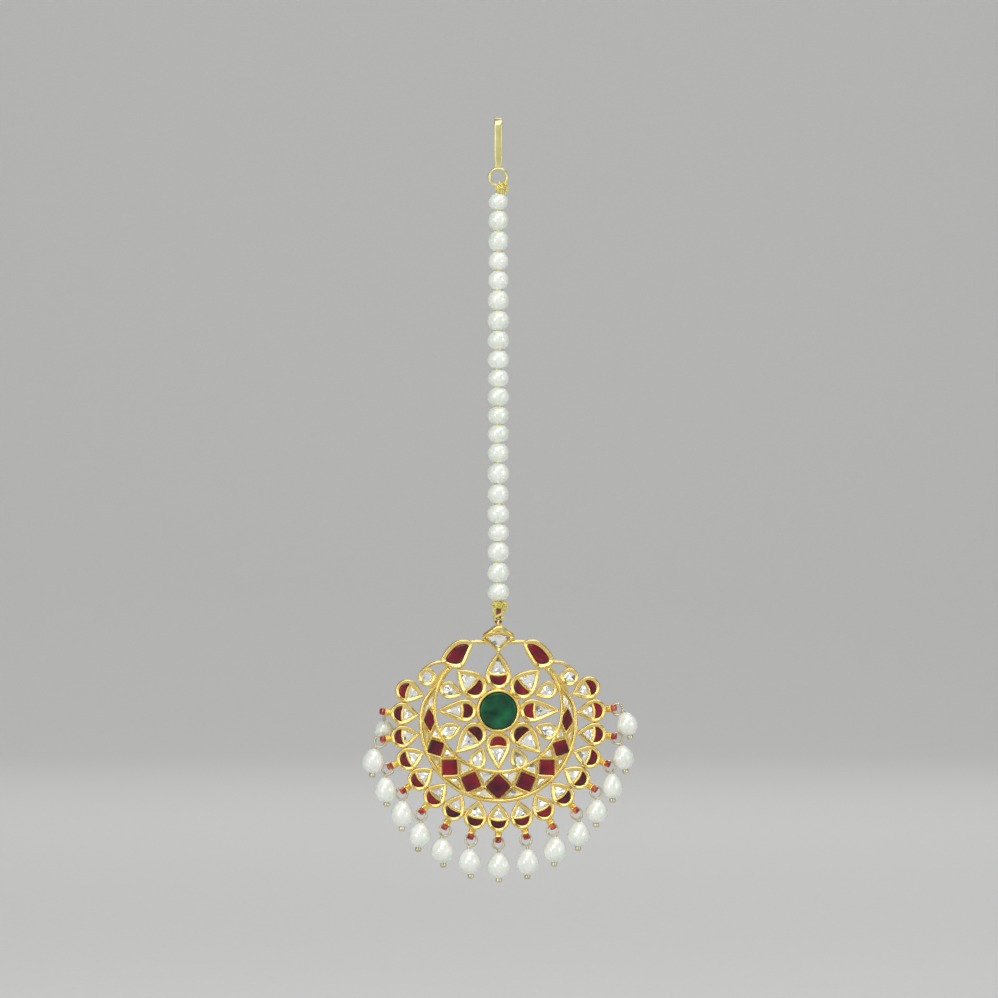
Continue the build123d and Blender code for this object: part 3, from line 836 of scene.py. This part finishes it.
# --- crescent -----------------------------------------------------------------
# Two gold rails run together at the horns, on a plate of gold that closes the back. Nine square-cut
# rubies in box settings stand on their corners between the rails, and flat diamonds with a thin
# collar each fill the triangles that are left.
OUTER_RAIL = {"y": -2.7, "radius": 16.25, "end": 18.4}
INNER_RAIL = {"y": 0.55, "radius": 13.4, "end": 40.2}
rail_half_width, rail_top = 0.42, 1.15
horn_tip = (10.1, 9.1)
CRESCENT_RUBIES = [  # (angle either side of the bottom, distance, half diagonal across, half diagonal along)
    (0, 14.95, 2.68, 2.68), (22.3, 15.1, 2.3, 2.3), (43, 14.95, 2.2, 2.2), (62.5, 14.8, 1.95, 1.95),
    (86, 14.45, 1.15, 2.2),
]
crescent_axis_y = -0.95
box_wall, box_crease = 0.5, 0.8
plate_horn, plate_steps = 47, 48  # how far the plate runs up the outer rail, past its sides
plate_back, plate_top = back - 0.03, 0.5
BOX_EDGE = ((0.09, 0.16), (0.09, 0.08), (0.08, -0.07), (0.04, -0.1))
BOX_LIP = ((0.04, -0.05), (0.04, -0.1))


def on_circle(circle, angle):
    """Spot on a rail's circle, at an angle from +X."""
    turn = radians(angle)
    return circle["radius"] * cos(turn), circle["y"] + circle["radius"] * sin(turn)


def rail(circle):
    """A rail bent round a circle from one horn, under the pendant, to the other."""
    deselect()
    start = 180 - circle["end"]
    bpy.ops.mesh.primitive_circle_add(vertices=8, radius=rail_half_width * 1.06, fill_type="NGON",
                                      location=(*on_circle(circle, start), rail_top - rail_half_width),
                                      rotation=(pi / 2, 0, radians(start)))
    bpy.ops.object.transform_apply(location=True, rotation=True)
    edit()
    pick("VERT", lambda v: v.co.z < rail_top - rail_half_width - 0.1)
    bpy.ops.transform.translate(value=(0, 0, back - rail_top + 2 * rail_half_width))
    pick_all()
    bpy.ops.mesh.spin(steps=56, angle=-radians(180 + 2 * circle["end"]), center=(0, circle["y"], 0),
                      axis=(0, 0, 1))


rail(OUTER_RAIL)
end_x, end_y = on_circle(OUTER_RAIL, OUTER_RAIL["end"])
for side in (1, -1):
    pick("FACE", lambda face: len(face.verts) == 8 and middle(face).x * side > horn_tip[0])
    pull(side * (horn_tip[0] - end_x), horn_tip[1] - end_y, 0)
outwards()
bezels = [smoothed(1)]
rail(INNER_RAIL)
outwards()
bezels.append(smoothed(1))


def drawn(points, level):
    """A flat outline drawn through its points, lying on its back, in edit mode."""
    deselect()
    bpy.ops.mesh.primitive_circle_add(vertices=len(points), radius=1, fill_type="NGON")
    outline = bpy.context.object
    for vertex, (x, y) in zip(outline.data.vertices, points):
        vertex.co = (x, y, level)
    outline.data.update()
    edit()
    pick_all()


rubies = []
for angle, distance, across, along in CRESCENT_RUBIES:
    grow = 1 + box_wall * hypot(across, along) / (across * along)
    for side in (-1, 1) if angle else (1,):
        wide, tall = along * grow, across * grow
        drawn([(wide, 0), (0, tall), (-wide, 0), (0, -tall)], back + back_round)
        bpy.ops.mesh.select_mode(type="EDGE")
        bpy.ops.mesh.subdivide(number_cuts=2)
        wall_up(wall_top, BOX_EDGE, even=True)
        rubies.append(pocket(BOX_LIP, even=True))
        crease(lambda e: all(min(abs(v.co.x), abs(v.co.y)) < 0.001 for v in e.verts)
               and max(abs(v.co.x) / wide + abs(v.co.y) / tall for v in e.verts) > 0.3, box_crease)
        outwards()
        bezels.append(smoothed(2))
        turn = radians(side * angle - 90)
        put((bezels[-1], rubies[-1]), side * angle, distance * cos(turn),
            crescent_axis_y + distance * sin(turn))
finish_gold("crescent_bezels", bezels)
set_rubies("crescent_rubies", rubies, (1.04, 0.3), (1.0, 0.06), (0.96, 0.06), (0.88, 0.08), (0.5, 0.03))

arcs = []
for circle, reach in ((OUTER_RAIL, 180 + 2 * plate_horn), (INNER_RAIL, 180 + 2 * INNER_RAIL["end"])):
    for n in range(plate_steps + 1):
        arcs.append(on_circle(circle, 270 - reach / 2 + reach * n / plate_steps))
drawn(arcs[:plate_steps + 1] + arcs[:plate_steps:-1], plate_back)
up(plate_top - plate_back)
outwards()
leave()
finish_gold("crescent_plate", [bpy.context.object])


def copy_of(node):
    """A merged copy of a CAD node in edit mode, with the faces of its front picked."""
    made = frame["nodes"][node].copy()
    made.data = frame["nodes"][node].data.copy()
    for key in list(made.keys()):
        del made[key]
    bpy.context.scene.collection.objects.link(made)
    made.hide_render = made.hide_viewport = False
    take(made)
    edit()
    pick_all()
    bpy.ops.mesh.remove_doubles(threshold=0.000002)
    bpy.ops.mesh.dissolve_limited(angle_limit=radians(3))
    front = min(v.co.y for v in bmesh.from_edit_mesh(made.data).verts)
    pick("FACE", lambda face: face.normal.y < -0.95 and middle(face).y < front + 0.00005)
    return made


def finish_copy(name, made_of, node):
    """Name a copy and give it its finish; it is already in its place."""
    leave()
    piece = bpy.context.object
    piece.name = piece.data.name = name
    piece.data.materials.clear()
    piece.data.materials.append(made_of)
    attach(piece, "pendant")
    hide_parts(node)


collar, collar_drop, collar_thickness = 0.15 * MM, 0.16 * MM, 0.05 * MM
copy_of("crescent_polkis")
bpy.ops.mesh.inset(thickness=collar, depth=-collar_drop, use_individual=True)
bpy.ops.mesh.inset(thickness=0.12 * MM, depth=0.05 * MM, use_individual=True)
bpy.ops.mesh.poke(offset=0.02 * MM)
bpy.ops.transform.vertex_random(offset=0.05 * MM, uniform=1.0, seed=4)
finish_copy("crescent_polkis_cut", polki_white, "crescent_polkis")
bpy.ops.object.shade_flat()

copy_of("crescent_polkis")
bpy.ops.mesh.inset(thickness=collar, depth=-collar_drop, use_individual=True)
bpy.ops.mesh.delete(type="FACE")
outwards()
pick_all()
bpy.ops.transform.translate(value=(0, -collar_thickness, 0))
finish_copy("crescent_collars", yellow_gold, "frame")
modify("SOLIDIFY", thickness=collar_thickness)

# --- rim petals ---------------------------------------------------------------
# Seventeen teardrop settings point in at the crescent, rubies outwards, each soldered to it by its
# tip. One is made and copied, a little turned and sized each time, as hand-made ones differ.
rim_axis_y = -2.7
RIM_STEPS = {"left": 13.7, "right": 13.95}
rim_tip, rim_length, rim_half_width, rim_sharpness = 16.6, 6.2, 2.42, 1.25
rim_bar_x = -0.35
RIM_EDGE = ((0.12, 0.2), (0.16, 0.12), (0.16, -0.02), (0.12, -0.09))


def on_rim(k, distance):
    """Spot on the rim's k-th line, counted from the bottom, at a distance from its axis, and its angle."""
    angle = -90 + k * (RIM_STEPS["left"] if k < 0 else RIM_STEPS["right"])
    return distance * cos(radians(angle)), rim_axis_y + distance * sin(radians(angle)), angle


first = split_setting(rim_length, rim_half_width, rim_sharpness, rim_bar_x, RIM_EDGE, RUBY_LIP, POLKI_LIP,
                      (1, 0.95))
spots = []
for k in range(-8, 9):
    x, y, angle = on_rim(k, rim_tip + rim_length - rim_half_width)
    spots.append((x, y, angle + random.uniform(-2, 2), random.uniform(0.98, 1.02)))
groups = spread(first, spots)
finish_gold("rim_bezels", groups[0])
set_rubies("rim_rubies", groups[1], *HALF_MOON)
set_polkis("rim_polkis", groups[2])

# --- top setting, leaves and round settings -----------------------------------
# A crown-shaped setting with one flat diamond tops the pendant. Two slanting leaves with long rubies
# and two round diamonds run from it to the horns, joined by short gold wires.
KITE = [(0, 12.05), (1.75, 13.6), (3.3, 14.95), (3.75, 15.5), (2.2, 16.4), (0, 16.9)]
CAP = [(0, 16.2), (1.9, 16.0), (3.6, 15.6), (3.0, 16.4), (1.8, 17.1), (1.05, 17.85), (0, 18.15)]
LEFT_LEAF = [(-12.5, 10.05), (-10.5, 9.05), (-8.4, 8.6), (-7.15, 9.15), (-6.3, 11.1), (-5.6, 12.8),
             (-5.05, 14.2), (-6.2, 14.8), (-7.6, 15.05), (-9.1, 14.7), (-10.7, 13.3), (-11.8, 11.6)]
RIGHT_LEAF = [(12.2, 10.05), (11.2, 12.0), (9.9, 13.8), (7.8, 15.15), (6.2, 14.95), (4.85, 14.5),
              (5.5, 12.6), (6.5, 10.8), (7.6, 9.1), (8.7, 8.6), (10.5, 9.05)]
round_at, round_radius = (14.95, 7.05), 1.98
LEAF_LIP = ((0.12, -0.02), (0.14, -0.1), (0.12, -0.16))
KITE_EDGE = ((0.12, 0.2), (0.15, 0.1), (0.12, -0.02))
KITE_LIP = ((0.12, -0.02), (0.14, -0.1), (0.14, -0.18))
CAP_DOME = ((0.14, 0.3), (0.2, 0.3), (0.3, 0.2))
kite_top, cap_top = 0.9, 0.95
WIRES = [  # (thickness, spots on the right-hand side): crown to leaf, leaf to crescent, leaf to round setting
    (0.75, ((5.6, 14.4, 0.5), (4.2, 14.6, 0.55), (2.6, 14.3, 0.5))),
    (0.85, ((9.4, 9.7, 0.4), (11.2, 7.7, 0.45), (12.9, 5.0, 0.5))),
    (0.72, ((11.0, 10.3, 0.4), (13.1, 10.2, 0.4), (14.7, 9.4, 0.4), (15.7, 8.5, 0.4))),
]

bezels, rubies, polkis, tops = [], [], [], []
drawn(KITE + [(-x, y) for x, y in KITE[-2:0:-1]], back + back_round)
wall_up(kite_top, KITE_EDGE)
tops.append(pocket(KITE_LIP, (0.8, 1.04)))
crease(lambda e: all(abs(v.co.x) < 0.01 and v.co.y < 14 for v in e.verts), 0.6)
outwards()
bezels.append(smoothed(2))
drawn(CAP + [(-x, y) for x, y in CAP[-2:0:-1]], back + back_round)
wall_up(cap_top, CAP_DOME)
outwards()
bezels.append(smoothed(2))
for leaf in (LEFT_LEAF, RIGHT_LEAF):
    drawn(leaf, back + back_round)
    wall_up(wall_top, PETAL_EDGE)
    rubies.append(pocket(LEAF_LIP, rounding=2))
    outwards()
    bezels.append(smoothed(2))
for side in (-1, 1):
    disc(round_radius, back + back_round, 16, side * round_at[0], round_at[1])
    wall_up(wall_top, CELL_EDGE)
    polkis.append(pocket(POLKI_LIP))
    outwards()
    bezels.append(smoothed(2))
    for thickness, spots in WIRES:
        bezels.append(wire([(side * x, y, z) for x, y, z in spots], thickness))
finish_gold("upper_bezels", bezels)
set_rubies("leaf_rubies", rubies, (1.03, 0.38), (0.96, 0.14), (0.84, 0.12), (0.5, 0.06))
set_polkis("round_polkis", polkis)
set_polkis("top_polki", tops, 0.5)

# --- eyelets ------------------------------------------------------------------
# A round eyelet on the crown takes the thread. Short tubes on the rim take the drops: their inner
# half is a bare gold saddle, their outer half is dipped in red enamel. One is made and copied.
eyelet_distance, eyelet_radius, eyelet_hole = 24.1, 1.08, 0.66
saddle_length, sleeve_length = 1.6, 1.45
saddle_cut, sleeve_cut = -0.25, -0.3  # where each is cut, from the tube's axis towards the rim
top_eyelet_radius, top_eyelet_wire = 0.8, 0.27

deselect()
torus(top_eyelet_radius, top_eyelet_wire, (0, string_y, hinge.z - 0.28), rotation=(0, pi / 2, 0))
place("top_eyelet", yellow_gold, "gold", "pendant", ["frame"])

enamel = material("red_enamel", Roughness=0.15, Coat_Weight=0.6, Coat_Roughness=0.05)
# the orange patches on the red are painted glints
tint(enamel, noise(enamel, 1500, 2), (0.38, (0.16, 0.004, 0.006)), (0.5, (0.42, 0.014, 0.008)),
     (0.66, (0.78, 0.17, 0.02)))


def tube(length):
    """A short drilled tube that lies across the rim, in edit mode and picked all over."""
    deselect()
    bpy.ops.mesh.primitive_cylinder_add(vertices=12, radius=eyelet_radius, depth=length,
                                        rotation=(pi / 2, 0, 0))
    bpy.ops.object.transform_apply(rotation=True)
    edit()
    pick("FACE", lambda face: abs(face.normal.y) > 0.9)
    bpy.ops.mesh.inset(thickness=eyelet_radius - eyelet_hole)
    bpy.ops.mesh.bridge_edge_loops()
    pick_all()


tube(saddle_length)
bpy.ops.mesh.bisect(plane_co=(saddle_cut, 0, 0), plane_no=(1, 0, 0), clear_outer=True, use_fill=True)
pick_all()
bpy.ops.transform.resize(value=(1, 1, 1.04))
pick("FACE", lambda face: face.normal.x < -0.95 and middle(face).x < -eyelet_radius * 0.83)
pull(-0.8, 0, -0.35)
bpy.ops.transform.resize(value=(1, 0.5, 1.4))
outwards()
saddle = smoothed(2)
tube(sleeve_length)
bpy.ops.mesh.bisect(plane_co=(sleeve_cut, 0, 0), plane_no=(1, 0, 0), clear_inner=True, use_fill=True)
outwards()
spots = [(*on_rim(k, eyelet_distance), 1) for k in range(-7, 8)]
tubes, sleeves = spread((saddle, smoothed(2)), spots)
finish_gold("rim_eyelets", tubes)
join(sleeves)
place("enamel_sleeves", enamel, "ruby", "pendant", ["frame"], pendant_at, face_front=True)

# --- drops --------------------------------------------------------------------
# Fifteen egg-shaped pearls, each on a pin of thin pale wire: a small barrel ends the pin below the
# pearl, and above it the wire is wound round itself and closed to a loop through its eyelet.
DROPS = [  # (place on the rim, tilt, width, height, loop turned edge-on)
    (-7, 8, 3.8, 4.2, True), (-6, -4, 4.4, 5.0, False), (-5, 3, 4.3, 5.2, False), (-4, -2, 4.4, 5.3, False),
    (-3, -7, 4.3, 5.1, False), (-2, 4, 4.5, 5.1, False), (-1, 5, 4.55, 5.3, False), (0, 0, 4.45, 5.2, False),
    (1, -1, 4.5, 5.3, False), (2, -3, 4.55, 5.2, False), (3, -3, 4.5, 5.1, False), (4, -3, 4.4, 4.8, False),
    (5, 1, 4.2, 5.1, False), (6, 9, 4.2, 4.9, False), (7, 13, 4.2, 4.7, False),
]
loop_radius, loop_reach, pin_wire = 1.22, 1.06, 0.52
loop_lean = 22  # most that a loop leans from straight outwards to straight down
neck_gap = 0.12  # from the loop to its neck
pearl_wider, pearl_taller, pearl_shoulder = 1.1, 1.06, 0.86  # the first two: what the smoothing takes off
turn_radius, turn_wire = 0.24, 0.13  # of the wire wound round the neck
barrel_radius, barrel_length, barrel_rounding = 0.65, 1.05, 0.36
pin_gold = gold("pin_gold", (0.80, 0.76, 0.54), (0.62, 0.57, 0.36), (0.24, 0.36))

pins = []
for number, (k, tilt, width, height, edge_on) in enumerate(DROPS, start=1):
    node = f"drop_pearl_{number:02d}"
    low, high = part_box(node)
    centre = (low + high) / 2
    deselect()
    drilled_pearl(width * pearl_wider, height * pearl_taller, narrow=pearl_shoulder)
    lean = radians(tilt)
    bpy.context.object.rotation_euler = (lean, 0, 0) if edge_on else (0, -lean, 0)
    bpy.ops.object.transform_apply(rotation=True)
    place(node, pearl, "pearl", "pendant", [node], at=centre)

    x, y, angle = on_rim(k, eyelet_distance)
    eyelet = Vector((x, string_y, pendant_at.z / MM + y))
    side = Vector((0, 1, 0)) if edge_on else Vector((1, 0, 0))
    above = Vector((0, 0, 1))
    outward = 0 if edge_on else angle
    heading = radians(outward + max(-loop_lean, min(loop_lean, -90 - outward)))
    loop = eyelet + (side * cos(heading) + above * sin(heading)) * loop_reach
    down = side * sin(lean) - above * cos(lean)
    pearl_top = centre / MM - down * (height / 2 - 0.05)
    pearl_end = centre / MM + down * (height / 2 - 0.05)
    to_pearl = (pearl_top - loop).normalized()
    across = to_pearl.cross(side.cross(above)).normalized()
    neck = loop + to_pearl * (loop_radius + neck_gap)
    ring_points = [loop + (across * sin(t) - to_pearl * cos(t)) * loop_radius
                   for t in (n * pi / 6 for n in range(-5, 6))]
    pins.append(wire([neck + across * 0.06] + ring_points + [neck - across * 0.06], pin_wire))
    pins.append(wire([neck - to_pearl * 0.15, (neck + pearl_top) / 2, pearl_top], pin_wire))
    for n in range(3):
        wound = neck.lerp(pearl_top, 0.15 + 0.33 * n)
        pins.append(torus(turn_radius, turn_wire, wound, segments=14, sides=8,
                          rotation=(pearl_top - neck).to_track_quat("Z", "Y").to_euler()))
    deselect()
    cylinder(barrel_radius, barrel_length, pearl_end + down * 0.5, -down, sides=16)
    modify("BEVEL", width=barrel_rounding, segments=5)
    bpy.ops.object.shade_smooth()
    pins.append(bpy.context.object)
join(pins)
place("drop_pins", pin_gold, "pale_gold", "pendant", ["drop_pins"])
